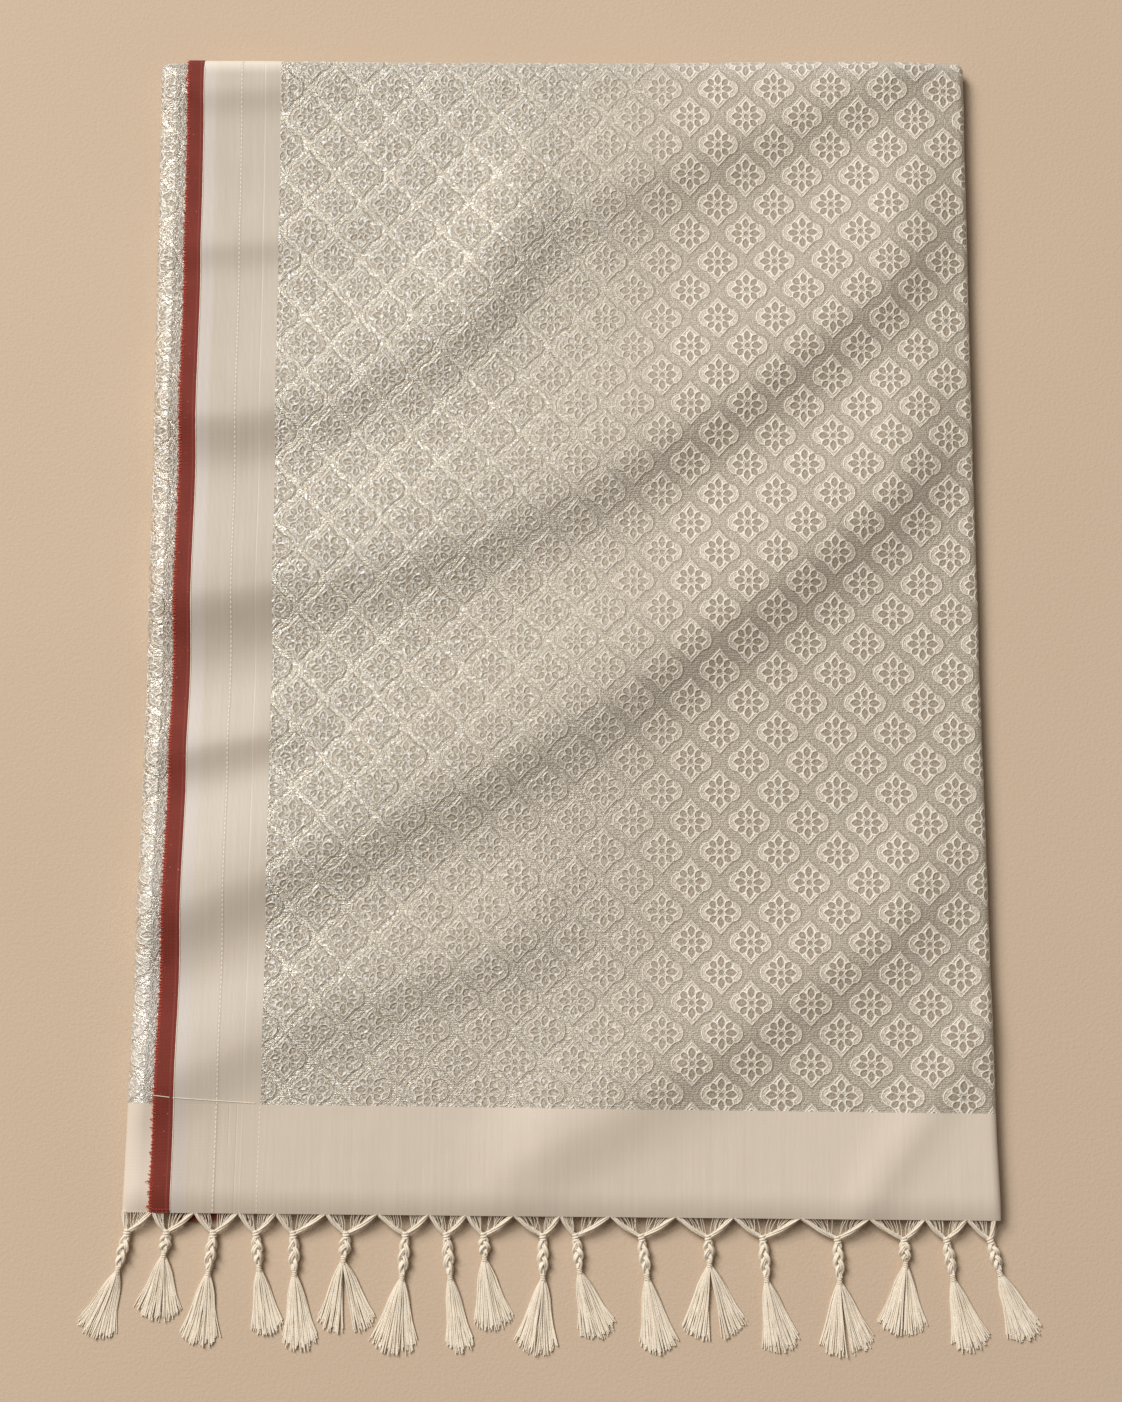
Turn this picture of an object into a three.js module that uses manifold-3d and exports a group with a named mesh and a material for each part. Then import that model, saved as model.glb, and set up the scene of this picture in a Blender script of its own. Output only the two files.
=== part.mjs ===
// A silk sari folded into a flat packet, laid on a surface with its fringed end uppermost.
// Millimetres, +Z up. X runs across the packet and Y along it, from the fringed front to the folded rear.
// The origin is the middle of the packet's flat underside.
//
// The sari is 1155 mm wide and 5500 mm long. It is doubled along its length, so the right side is a fold
// and the lower half shows past the red selvedge on the left, where it rolls under. It is then folded
// across into courses, so the rear is a fold too. Only the front holds the cut, knotted end.
import * as THREE from "three";
import { mergeVertices } from "three/addons/utils/BufferGeometryUtils.js";
import Module from "manifold-3d";

const wasm = await Module();
wasm.setup();

// ---- Driving dimensions -------------------------------------------------------------------------
const LENGTH = 770;
const REAR_Y = LENGTH / 2;
const PILE = 13; // height of the top cloth between its folds
const CLOTH = 1.2; // wall of one cloth
const GAP = 0.3;
const LAYER = CLOTH + GAP; // one cloth and the gap under it
const ROLL_END = (120 * Math.PI) / 180; // how far a rolled edge turns down and under
const ROLL_STEPS = 3;
const CORNER_STEPS = 3;
const TUCK = 7; // how far the lower cloth reaches under the red selvedge
const DROOP = 3.5; // the free front edge sinks this much
const DROOP_RUN = 16; // over this length

// How each side of the packet turns down: how far it reaches past the flat top, the height where its
// roll ends, and how far the folded courses below stand back from it.
const SIDES = {
  left: { reach: 11 + LAYER, low: 3, back: 3.5 },
  right: { reach: 5.5, low: 7, back: 0.8 },
  rear: { reach: 5.5, low: 7, back: 0.8 },
  front: { reach: 3, low: 7.5, back: 0.3 },
};
const FRONT_SETBACK = 9; // the courses below start this far behind the fringed edge

// The soft folds that cross the top. A crest runs through (-SPAN, left), (0, middle) and (SPAN, right),
// is alive from one X to another, and is wide on its lit side and steeper on its lee side.
const SPAN = 270;
const FADE = 70;
const BEYOND = 400;
const FOLDS = [
  { left: 364, middle: 374, right: 384, from: -BEYOND, to: -130, rise: 3.6, lit: 22, lee: 15 },
  { left: 254, middle: 277, right: 300, from: -BEYOND, to: -90, rise: 3.4, lit: 24, lee: 15 },
  { left: 145, middle: 276, right: 780, from: -BEYOND, to: 10, rise: 10.6, lit: 58, lee: 26 },
  { left: 190, middle: 284, right: 404, from: -75, to: 285, rise: 7.8, lit: 48, lee: 27 },
  { left: 18, middle: 90, right: 282, from: -BEYOND, to: 285, rise: 12.4, lit: 62, lee: 28 },
  { left: -88, middle: -38, right: 6, from: -BEYOND, to: -130, rise: 7, lit: 28, lee: 17 },
  { left: -190, middle: -62, right: 135, from: -BEYOND, to: 285, rise: 12.8, lit: 62, lee: 30 },
  { left: -302, middle: -198, right: -150, from: -BEYOND, to: 30, rise: 6.6, lit: 42, lee: 25 },
  { left: -440, middle: -331, right: -152, from: -70, to: 285, rise: 6.4, lit: 44, lee: 27 },
  { left: -1020, middle: -645, right: -270, from: 140, to: BEYOND, rise: 2.4, lit: 18, lee: 14 },
];

// The folded courses under the top one: how far each stands back from its neighbours, top to bottom.
const COURSES = [{ back: 0.9 }, { back: 0.1 }, { back: 1.3 }, { back: 0.5 }];
const GROOVE = 1.5; // depth of the groove between two courses

// The knotted fringe, left to right. gather is where the tassel's left leg leaves the cloth, knot where its
// legs meet, neck the length of its plait, shift how far the plait leans, skirt the length of its brush,
// and lean and spread the brush's middle and half angle in degrees.
const FRINGE = [
  { gather: -281, knot: -278, neck: 26.4, shift: -6.4, skirt: 42.5, lean: -19.5, spread: 18.5 },
  { gather: -262, knot: -253, neck: 16.6, shift: -2, skirt: 39.5, lean: -4.2, spread: 24 },
  { gather: -235, knot: -223, neck: 27.6, shift: -3.4, skirt: 44.5, lean: -7, spread: 17 },
  { gather: -207, knot: -196, neck: 24.6, shift: 2.4, skirt: 40, lean: 8.5, spread: 16 },
  { gather: -183, knot: -172, neck: 27.6, shift: 1, skirt: 46.5, lean: 5.5, spread: 15 },
  { gather: -151, knot: -138, neck: 19, shift: -2, skirt: 44, lean: 4, spread: 26 },
  { gather: -118, knot: -100, neck: 29.5, shift: -2.4, skirt: 46.5, lean: -7, spread: 20 },
  { gather: -85, knot: -74, neck: 29, shift: 2.7, skirt: 45.5, lean: 9.5, spread: 12 },
  { gather: -61, knot: -50, neck: 17.2, shift: 0.6, skirt: 43, lean: 8.5, spread: 18.5 },
  { gather: -31, knot: -12, neck: 29, shift: 0, skirt: 46, lean: -6, spread: 18 },
  { gather: -1, knot: 9, neck: 24.5, shift: 2.7, skirt: 42, lean: 18, spread: 18.5 },
  { gather: 31, knot: 51, neck: 28.2, shift: 4, skirt: 46, lean: 9.7, spread: 16.5 },
  { gather: 73, knot: 94, neck: 19.6, shift: 0.9, skirt: 45, lean: 5, spread: 28 },
  { gather: 110, knot: 129, neck: 28.8, shift: 2.5, skirt: 44.5, lean: 13.5, spread: 17 },
  { gather: 153, knot: 177, neck: 29.5, shift: 1.3, skirt: 45, lean: 6.7, spread: 24 },
  { gather: 197, knot: 220, neck: 18.4, shift: 0.7, skirt: 42.5, lean: -3, spread: 22.5 },
  { gather: 233, knot: 247, neck: 27, shift: 4.3, skirt: 45, lean: 15.6, spread: 17 },
  { gather: 260, knot: 275, neck: 23.4, shift: 6.7, skirt: 43.5, lean: 24, spread: 17 },
];
const LAST_GATHER = 278;
const KNOT_DROP = 11.6; // from the cloth's edge to the knot
const FANS = [
  { strands: 6, rootZ: 2, tipZ: 1 },
  { strands: 5, rootZ: 3.7, tipZ: 2.6 },
]; // the two layers of each brush

const RED = 0x8a4638;
const SATIN = 0xcdbda8;
const BROCADE = 0xbdb3a3;
const THREAD = 0xe6dccb;

// ---- The packet's outline and top ---------------------------------------------------------------
const lerp = THREE.MathUtils.lerp;
const smooth = (x) => THREE.MathUtils.smoothstep(x, 0, 1);
const nearness = (y) => THREE.MathUtils.clamp((REAR_Y - y) / LENGTH, 0, 1); // 0 at the rear, 1 at the front

// Lines that run along the packet, as X at a Y. The packet flares towards its front.
const leftEdge = (y) => -(271 + 10.8 * nearness(y) ** 3);
const redLeft = (y) => -(252 + 12 * nearness(y) ** 2.6);
const redRight = (y) => -(241 + 9.5 * nearness(y) ** 2.4);
const borderSeam = (y) => -(189.5 + 5.5 * nearness(y) ** 4);
const rightEdge = (y) => 272 + 9.6 * nearness(y) ** 1.8;

// Lines that run across it, as Y at an X.
const frontEdge = (x) => -384.2 - 0.0098 * x;
const bandSeam = (x) => -315.6 - 0.0125 * x;

function foldHeight(fold, x, y) {
  const s = x / SPAN;
  const slope = (fold.right - fold.left) / 2;
  const bend = (fold.right + fold.left) / 2 - fold.middle;
  const crest = fold.middle + slope * s + bend * s * s;
  const lean = Math.hypot(1, (slope + 2 * bend * s) / SPAN);
  const away = (y - crest) / lean;
  const width = away > 0 ? fold.lit : fold.lee;
  const alive = smooth((x - fold.from) / FADE) * smooth((fold.to - x) / FADE);
  return fold.rise * alive * Math.exp(-((away / width) ** 2));
}

function topHeight(x, y) {
  const folds = FOLDS.reduce((sum, fold) => sum + foldHeight(fold, x, y), 0);
  const sag = THREE.MathUtils.clamp(1 - (y - frontEdge(x)) / DROOP_RUN, 0, 1);
  return PILE + folds - DROOP * sag * sag;
}

// ---- The grid that every cloth shares -----------------------------------------------------------
// Columns and rows are lines of the grid. Cloths that lie on each other use the same ones, so that their
// facets stay parallel.
const span = (from, to, steps, first = 0) =>
  Array.from({ length: steps + 1 - first }, (_, k) => (at) =>
    lerp(from(at), to(at), (k + first) / steps),
  );
const flatLeft = (y) => leftEdge(y) + SIDES.left.reach - LAYER;
const flatRight = (y) => rightEdge(y) - SIDES.right.reach;
const flatRear = () => REAR_Y - SIDES.rear.reach;
const tuckEnd = (y) => redLeft(y) + TUCK;

const COLUMNS = [
  flatLeft,
  redLeft,
  tuckEnd,
  (y) => tuckEnd(y) + 2 * GAP,
  redRight,
  ...span(redRight, borderSeam, 3, 1),
  ...span(borderSeam, flatRight, 18, 1),
];
const [COL_FLAT_LEFT, COL_RED, COL_TUCK, COL_CLEAR, COL_BORDER, COL_FIELD] = [0, 1, 2, 3, 4, 7];
const COL_END = COLUMNS.length - 1;

const ROWS = [
  frontEdge,
  (x) => frontEdge(x) + FRONT_SETBACK / 2,
  (x) => frontEdge(x) + FRONT_SETBACK,
  (x) => frontEdge(x) + DROOP_RUN,
  (x) => lerp(frontEdge(x) + DROOP_RUN, bandSeam(x), 0.5),
  bandSeam,
  ...span(bandSeam, flatRear, 26, 1),
];
const [ROW_FRONT, ROW_SETBACK, ROW_SEAM] = [0, 2, 5];
const ROW_END = ROWS.length - 1;

function gridPoint(column, row) {
  let [x, y] = [0, ROWS[row](0)];
  for (let pass = 0; pass < 3; pass++) {
    x = COLUMNS[column](y);
    y = ROWS[row](x);
  }
  return { x, y };
}

// A patch is a stretch of the grid with a rolled skirt on the sides that turn down. Its nodes say where
// they stand on the flat top, how far and which way they reach past it, and how far they have turned.
function patch({ columns: [c0, c1], rows: [r0, r1], rolls = [], seams = [] }) {
  const nodes = [];
  const triangles = [];
  const index = new Map();
  const trim = (side) => (seams.includes(side) ? GAP / 2 : 0);
  for (let r = r0; r <= r1; r++) {
    for (let c = c0; c <= c1; c++) {
      const { x, y } = gridPoint(c, r);
      index.set(`${c},${r}`, nodes.length);
      nodes.push({
        x: x + (c === c0 ? trim("left") : 0) - (c === c1 ? trim("right") : 0),
        y: y + (r === r0 ? trim("front") : 0) - (r === r1 ? trim("rear") : 0),
        column: c,
        rx: 0,
        ry: 0,
        low: 0,
        back: 0,
        phi: 0,
      });
    }
  }
  const at = (c, r) => index.get(`${c},${r}`);
  for (let r = r0; r < r1; r++) {
    for (let c = c0; c < c1; c++) {
      triangles.push([at(c, r), at(c + 1, r), at(c + 1, r + 1)]);
      triangles.push([at(c, r), at(c + 1, r + 1), at(c, r + 1)]);
    }
  }
  const ring = rollRing([c0, c1], [r0, r1], rolls, at);
  for (const stand of ring) {
    stand.turned = [stand.top];
    for (let k = 1; k <= ROLL_STEPS; k++) {
      const { x, y, column } = nodes[stand.top];
      stand.turned.push(nodes.length);
      nodes.push({ ...stand.roll, x, y, column, phi: (ROLL_END * k) / ROLL_STEPS });
    }
  }
  const closes = rolls.length === 4;
  ring.forEach((p, n) => {
    if (n === ring.length - 1 && !closes) return;
    stitch(p.turned, ring[(n + 1) % ring.length].turned, triangles);
  });
  return { nodes, triangles, ring };
}

// Joins two columns of nodes that run down side by side, the first one before the second round the packet.
function stitch(first, second, triangles) {
  for (let k = 0; k + 1 < first.length; k++) {
    const [a, b, c, d] = [first[k], first[k + 1], second[k + 1], second[k]];
    triangles.push([a, b, c]);
    if (a !== d) triangles.push([a, c, d]);
  }
}

// The stands of the skirt, anticlockwise from the front. A corner between two rolled sides turns from one
// to the other on one grid point.
function rollRing([c0, c1], [r0, r1], rolls, at) {
  const count = (a, b) => Array.from({ length: Math.abs(b - a) + 1 }, (_, k) => a + Math.sign(b - a) * k);
  const runs = {
    front: { tops: count(c0, c1).map((c) => at(c, r0)), way: [0, -1] },
    right: { tops: count(r0, r1).map((r) => at(c1, r)), way: [1, 0] },
    rear: { tops: count(c1, c0).map((c) => at(c, r1)), way: [0, 1] },
    left: { tops: count(r1, r0).map((r) => at(c0, r)), way: [-1, 0] },
  };
  const ring = [];
  rolls.forEach((side, n) => {
    const { tops, way } = runs[side];
    const { reach, low, back } = SIDES[side];
    const roll = { rx: way[0] * reach, ry: way[1] * reach, low, back };
    tops.forEach((top) => ring.push({ top, roll }));
    const next = rolls[n + 1] ?? (rolls.length === 4 ? rolls[0] : null);
    if (!next) return;
    const to = { ...SIDES[next], way: runs[next].way };
    for (let k = 1; k < CORNER_STEPS; k++) {
      const [turn, share] = [((Math.PI / 2) * k) / CORNER_STEPS, k / CORNER_STEPS];
      ring.push({
        top: tops.at(-1),
        roll: {
          rx: roll.rx * Math.cos(turn) + to.way[0] * to.reach * Math.sin(turn),
          ry: roll.ry * Math.cos(turn) + to.way[1] * to.reach * Math.sin(turn),
          low: lerp(low, to.low, share),
          back: lerp(back, to.back, share),
        },
      });
    }
  });
  return ring;
}

// Where a node lies at a depth under the outer face of the top cloth.
function place({ x, y, rx, ry, low, phi }, depth) {
  const top = topHeight(x, y);
  const reach = Math.hypot(rx, ry);
  const out = reach ? ((reach - depth) / reach) * Math.sin(phi) : 0;
  const drop = (top - low) / (1 - Math.cos(ROLL_END));
  const z = top - drop * (1 - Math.cos(phi)) - depth * Math.cos(phi);
  return new THREE.Vector3(x + rx * out, y + ry * out, z);
}

function geometryOf(points, triangles) {
  const geometry = new THREE.BufferGeometry().setFromPoints(points);
  geometry.setIndex(triangles.flat());
  return geometry;
}

// A cloth: a patch's outer face, its inner face one wall below, and the rim that joins them.
function cloth(sheet, depth) {
  const { nodes, triangles } = sheet;
  const outer = nodes.map((node) => place(node, depth));
  const inner = nodes.map((node) => place(node, depth + CLOTH));
  const under = nodes.length;
  const faces = [];
  const edges = new Set();
  for (const [a, b, c] of triangles) {
    faces.push([a, b, c], [under + c, under + b, under + a]);
    for (const edge of [`${a},${b}`, `${b},${c}`, `${c},${a}`]) edges.add(edge);
  }
  for (const edge of edges) {
    const [a, b] = edge.split(",").map(Number);
    if (!edges.has(`${b},${a}`)) faces.push([b, a, under + a], [b, under + a, under + b]);
  }
  return geometryOf([...outer, ...inner], faces);
}

// The courses that the top cloth hides, as one solid: it follows the cloth above it, is layered at its
// edges and lies flat.
function foldedCourses() {
  const sheet = patch({
    columns: [COL_FLAT_LEFT, COL_END],
    rows: [ROW_SETBACK, ROW_END],
    rolls: ["front", "right", "rear", "left"],
  });
  const depthOf = ({ column }) => (column <= COL_TUCK ? 2 * LAYER : LAYER);
  const points = sheet.nodes.map((node) => place(node, depthOf(node)));
  const triangles = [...sheet.triangles];
  const steps = COURSES.length * 2;
  for (const stand of sheet.ring) {
    const { rx, ry, low, back } = stand.roll;
    const { x, y } = sheet.nodes[stand.top];
    const reach = Math.hypot(rx, ry);
    const layer = (inset, z) => {
      const out = (reach - inset) / reach;
      stand.turned.push(points.length);
      points.push(new THREE.Vector3(x + rx * out, y + ry * out, z));
    };
    layer(back + GROOVE, low - GAP);
    COURSES.forEach((course, n) => {
      layer(back + course.back, (low - 2 * GAP) * (1 - (2 * n + 1) / steps));
      const last = n === COURSES.length - 1;
      layer(back + (last ? course.back : GROOVE), (low - 2 * GAP) * (1 - (2 * n + 2) / steps));
    });
  }
  sheet.ring.forEach((p, n) => {
    const q = sheet.ring[(n + 1) % sheet.ring.length];
    stitch(p.turned.slice(ROLL_STEPS), q.turned.slice(ROLL_STEPS), triangles);
  });
  const foot = sheet.ring.map((stand) => stand.turned.at(-1));
  const outline = foot.map((n) => new THREE.Vector2(points[n].x, points[n].y));
  for (const [a, b, c] of THREE.ShapeUtils.triangulateShape(outline, [])) {
    triangles.push([foot[c], foot[b], foot[a]]);
  }
  return geometryOf(points, triangles);
}

// The second selvedge, turned under with the lower half, where it peeps out below the fringed edge.
const TONGUE = { left: -248, right: -216, tuck: 5.4, tip: 7.2, heel: 3.5, z: 3.4 };
function selvedgeTongue() {
  const { left, right, tuck, tip, heel, z } = TONGUE;
  const inside = frontEdge(left) + tuck;
  const shape = new THREE.Shape([
    new THREE.Vector2(left, inside),
    new THREE.Vector2(left + 3, inside - tuck - tip),
    new THREE.Vector2(right, inside - tuck - heel),
    new THREE.Vector2(right, inside),
  ]);
  return new THREE.ExtrudeGeometry(shape, { depth: CLOTH, bevelEnabled: false }).translate(0, 0, z);
}

// ---- The fringe ---------------------------------------------------------------------------------
// A closed tapered bar through a list of points, each with its own radius.
function bar(points, radii, sides) {
  const vertices = [];
  const faces = [];
  points.forEach((point, n) => {
    const ahead = points[Math.min(n + 1, points.length - 1)];
    const behind = points[Math.max(n - 1, 0)];
    const along = new THREE.Vector3().subVectors(ahead, behind).normalize();
    const across = new THREE.Vector3(0, 0, 1).cross(along).normalize();
    const up = new THREE.Vector3().crossVectors(along, across);
    for (let k = 0; k < sides; k++) {
      const turn = (2 * Math.PI * (k + 0.5)) / sides;
      vertices.push(
        point
          .clone()
          .addScaledVector(across, radii[n] * Math.cos(turn))
          .addScaledVector(up, radii[n] * Math.sin(turn)),
      );
    }
  });
  for (let n = 0; n + 1 < points.length; n++) {
    for (let k = 0; k < sides; k++) {
      const [a, b] = [n * sides + k, n * sides + ((k + 1) % sides)];
      faces.push([a, b, b + sides], [a, b + sides, a + sides]);
    }
  }
  const last = (points.length - 1) * sides;
  for (let k = 1; k + 1 < sides; k++) {
    faces.push([0, k + 1, k], [last, last + k, last + k + 1]);
  }
  return solid(geometryOf(vertices, faces));
}

function solid(geometry) {
  const bare = new THREE.BufferGeometry()
    .setAttribute("position", geometry.getAttribute("position"))
    .setIndex(geometry.index);
  const merged = mergeVertices(bare, 1e-4);
  return new wasm.Manifold(
    new wasm.Mesh({
      numProp: 3,
      vertProperties: merged.attributes.position.array,
      triVerts: new Uint32Array(merged.index.array),
    }),
  );
}

function fromSolid(made) {
  const { vertProperties, triVerts } = made.getMesh();
  const geometry = new THREE.BufferGeometry();
  geometry.setAttribute("position", new THREE.BufferAttribute(vertProperties, 3));
  return geometry.setIndex(new THREE.BufferAttribute(triVerts, 1));
}

// Height of the free front edge at an X, also where the sides roll down.
function edgeHeight(x) {
  const y = frontEdge(x);
  const [left, right] = [flatLeft(y), flatRight(y)];
  if (x >= left && x <= right) return topHeight(x, y);
  const side = x < left ? SIDES.left : SIDES.right;
  const past = Math.min(1, (x < left ? left - x : x - right) / side.reach);
  const top = topHeight(THREE.MathUtils.clamp(x, left, right), y);
  return top - ((top - side.low) / (1 - Math.cos(ROLL_END))) * (1 - Math.sqrt(1 - past * past));
}

const NECK_RADIUS = 3.1;
const NECK_Z = 3.5;
const TIE_RADIUS = 1.9;
const LEG = { inset: 1.5, start: 0.9, end: 1.6, gap: 0.3, below: 1.3 };
const STRAND = { root: 1, tip: 0.72, inset: 1, apart: 0.9, taper: 0.14 };

function tassel({ gather, knot, neck, shift, skirt, lean, spread }, nextGather) {
  const edge = frontEdge(knot);
  const top = new THREE.Vector3(knot, edge - KNOT_DROP, NECK_Z + 0.6);
  const tie = new THREE.Vector3(knot + shift, top.y - neck, NECK_Z - 0.4);
  // The plait: three swellings between the knot and the tie.
  const beads = [0, 0.12, 0.28, 0.42, 0.58, 0.72, 0.86, 1];
  const swell = [0.72, 1, 0.86, 1.04, 0.84, 1, 0.66, TIE_RADIUS / NECK_RADIUS];
  const plait = beads.map((share) => new THREE.Vector3().lerpVectors(top, tie, share));
  let made = bar(plait, swell.map((size) => size * NECK_RADIUS), 5);
  // Two legs gather the cloth's end threads into the knot.
  for (const foot of [gather + LEG.inset, nextGather - LEG.inset]) {
    const y = frontEdge(foot) - LEG.start - LEG.gap;
    const start = new THREE.Vector3(foot, y, edgeHeight(foot) - LEG.below);
    const end = top.clone().add(new THREE.Vector3(0, -1.5, 0));
    const middle = new THREE.Vector3().lerpVectors(start, end, 0.5);
    middle.z -= 0.5;
    made = made.add(bar([start, middle, end], [LEG.start, 1.2, LEG.end], 4));
  }
  // The brush: two fans of strands, one lying on the other.
  for (const { strands, rootZ, tipZ } of FANS) {
    for (let k = 0; k < strands; k++) {
      const side = (2 * k - strands + 1) / (FANS[0].strands - 1);
      const angle = THREE.MathUtils.degToRad(lean + spread * side);
      const length = skirt * (1 - STRAND.taper * side * side);
      const root = new THREE.Vector3(tie.x + STRAND.apart * side, tie.y + STRAND.inset, rootZ);
      const tip = new THREE.Vector3(tie.x + length * Math.sin(angle), tie.y - length * Math.cos(angle), tipZ);
      made = made.add(bar([root, tip], [STRAND.root, STRAND.tip], 3));
    }
  }
  return fromSolid(made);
}

// ---- Assembly -----------------------------------------------------------------------------------
const silk = (color, roughness, metalness = 0) =>
  new THREE.MeshStandardMaterial({ color, roughness, metalness });
const MATERIALS = {
  brocade: silk(BROCADE, 0.45, 0.4),
  satin: silk(SATIN, 0.4),
  red: silk(RED, 0.7),
  thread: silk(THREAD, 0.75),
};

const sari = new THREE.Group();
function add(name, geometry, material) {
  const mesh = new THREE.Mesh(geometry, material);
  mesh.name = name;
  sari.add(mesh);
}

const CLOTHS = [
  {
    name: "field_brocade",
    material: MATERIALS.brocade,
    depth: 0,
    columns: [COL_FIELD, COL_END],
    rows: [ROW_SEAM, ROW_END],
    rolls: ["right", "rear"],
    seams: ["left", "front"],
  },
  {
    name: "border_satin",
    material: MATERIALS.satin,
    depth: 0,
    columns: [COL_BORDER, COL_FIELD],
    rows: [ROW_SEAM, ROW_END],
    rolls: ["rear"],
    seams: ["left", "right", "front"],
  },
  {
    name: "selvedge_red",
    material: MATERIALS.red,
    depth: 0,
    columns: [COL_RED, COL_BORDER],
    rows: [ROW_FRONT, ROW_END],
    rolls: ["rear"],
    seams: ["right"],
  },
  {
    name: "end_band",
    material: MATERIALS.satin,
    depth: 0,
    columns: [COL_BORDER, COL_END],
    rows: [ROW_FRONT, ROW_SEAM],
    rolls: ["right"],
    seams: ["left", "rear"],
  },
  {
    name: "lower_brocade",
    material: MATERIALS.brocade,
    depth: LAYER,
    columns: [COL_FLAT_LEFT, COL_TUCK],
    rows: [ROW_SEAM, ROW_END],
    rolls: ["rear", "left"],
    seams: ["front"],
  },
  {
    name: "lower_band",
    material: MATERIALS.satin,
    depth: LAYER,
    columns: [COL_FLAT_LEFT, COL_TUCK],
    rows: [ROW_FRONT, ROW_SEAM],
    rolls: ["left"],
    seams: ["rear"],
  },
];
for (const { name, material, depth, ...shape } of CLOTHS) {
  add(name, cloth(patch(shape), depth), material);
}
add("lower_selvedge", selvedgeTongue(), MATERIALS.red);
add("folded_courses", foldedCourses(), MATERIALS.brocade);
FRINGE.forEach((row, n) => {
  const next = FRINGE[n + 1]?.gather ?? LAST_GATHER;
  add(`tassel_${String(n + 1).padStart(2, "0")}`, tassel(row, next), MATERIALS.thread);
});

export default sari;
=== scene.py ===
"""A silk sari folded into a flat packet, with its knotted fringe in front.

Sizes are in millimetres, as a weaver would give them. MM turns them into Blender's metres where a mesh is
placed.
X runs across the packet, Y along it from the fringed front to the folded rear, and Z is up.
"""

import math
import random

import bmesh
import bpy
from mathutils import Euler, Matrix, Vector, noise


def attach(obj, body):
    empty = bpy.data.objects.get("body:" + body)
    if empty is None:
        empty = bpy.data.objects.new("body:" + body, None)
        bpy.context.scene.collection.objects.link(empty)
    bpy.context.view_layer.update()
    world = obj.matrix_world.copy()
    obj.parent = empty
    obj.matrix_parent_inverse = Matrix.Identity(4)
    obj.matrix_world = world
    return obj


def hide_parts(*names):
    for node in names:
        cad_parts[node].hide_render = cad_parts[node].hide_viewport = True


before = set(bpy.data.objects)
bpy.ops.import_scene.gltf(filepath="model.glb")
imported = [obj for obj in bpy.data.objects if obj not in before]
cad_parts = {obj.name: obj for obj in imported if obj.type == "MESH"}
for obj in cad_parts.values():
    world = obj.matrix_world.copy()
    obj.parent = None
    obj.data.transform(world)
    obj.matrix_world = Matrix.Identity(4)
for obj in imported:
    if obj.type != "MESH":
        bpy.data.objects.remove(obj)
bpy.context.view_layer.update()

MM = 0.001

# ---- The packet's sizes --------------------------------------------------------------------------
LENGTH = 770
REAR_Y = LENGTH / 2
PILE = 13  # height of the top cloth between its folds
LAYER = 1.5  # how far the lower cloth lies under the upper one
WALL = 1.0  # thickness shown at a cloth's edge
RIM_ANGLE = math.radians(50)  # a sharper edge than this stays crisp
ROLL_END = math.radians(120)  # how far a rolled edge turns down and under
ROLL_STEPS = 9
TUCK = 7  # how far the lower cloth reaches under the red selvedge
DROOP = 3.5  # the free front edge sinks this much
DROOP_RUN = 16  # over this length
CELL = 3.0  # spacing of a cloth's grid

# How each side turns down: how far it reaches past the flat top, the height where its roll ends, and how
# far the folded courses below stand back from it.
SIDES = {
    "left": {"reach": 11 + LAYER, "low": 3, "back": 3.5},
    "right": {"reach": 5.5, "low": 7, "back": 0.8},
    "rear": {"reach": 5.5, "low": 7, "back": 0.8},
    "front": {"reach": 3, "low": 7.5, "back": 0.3},
}
FRONT_SETBACK = 9

# The soft folds that cross the top. A crest runs through (-SPAN, left), (0, middle) and (SPAN, right). It is
# alive from begin to end along X and fades there. Its lit side is wide and its lee side steeper.
SPAN = 270
FADE = 70
BEYOND = 400
FOLDS = [
    dict(left=364, middle=374, right=384, begin=-BEYOND, end=-130, rise=3.6, lit=22, lee=15),
    dict(left=254, middle=277, right=300, begin=-BEYOND, end=-90, rise=3.4, lit=24, lee=15),
    dict(left=145, middle=276, right=780, begin=-BEYOND, end=10, rise=10.6, lit=58, lee=26),
    dict(left=190, middle=284, right=404, begin=-75, end=285, rise=7.8, lit=48, lee=27),
    dict(left=18, middle=90, right=282, begin=-BEYOND, end=285, rise=12.4, lit=62, lee=28),
    dict(left=-88, middle=-38, right=6, begin=-BEYOND, end=-130, rise=7, lit=28, lee=17),
    dict(left=-190, middle=-62, right=135, begin=-BEYOND, end=285, rise=12.8, lit=62, lee=30),
    dict(left=-302, middle=-198, right=-150, begin=-BEYOND, end=30, rise=6.6, lit=42, lee=25),
    dict(left=-440, middle=-331, right=-152, begin=-70, end=285, rise=6.4, lit=44, lee=27),
    dict(left=-1020, middle=-645, right=-270, begin=140, end=BEYOND, rise=2.4, lit=18, lee=14),
]

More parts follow.
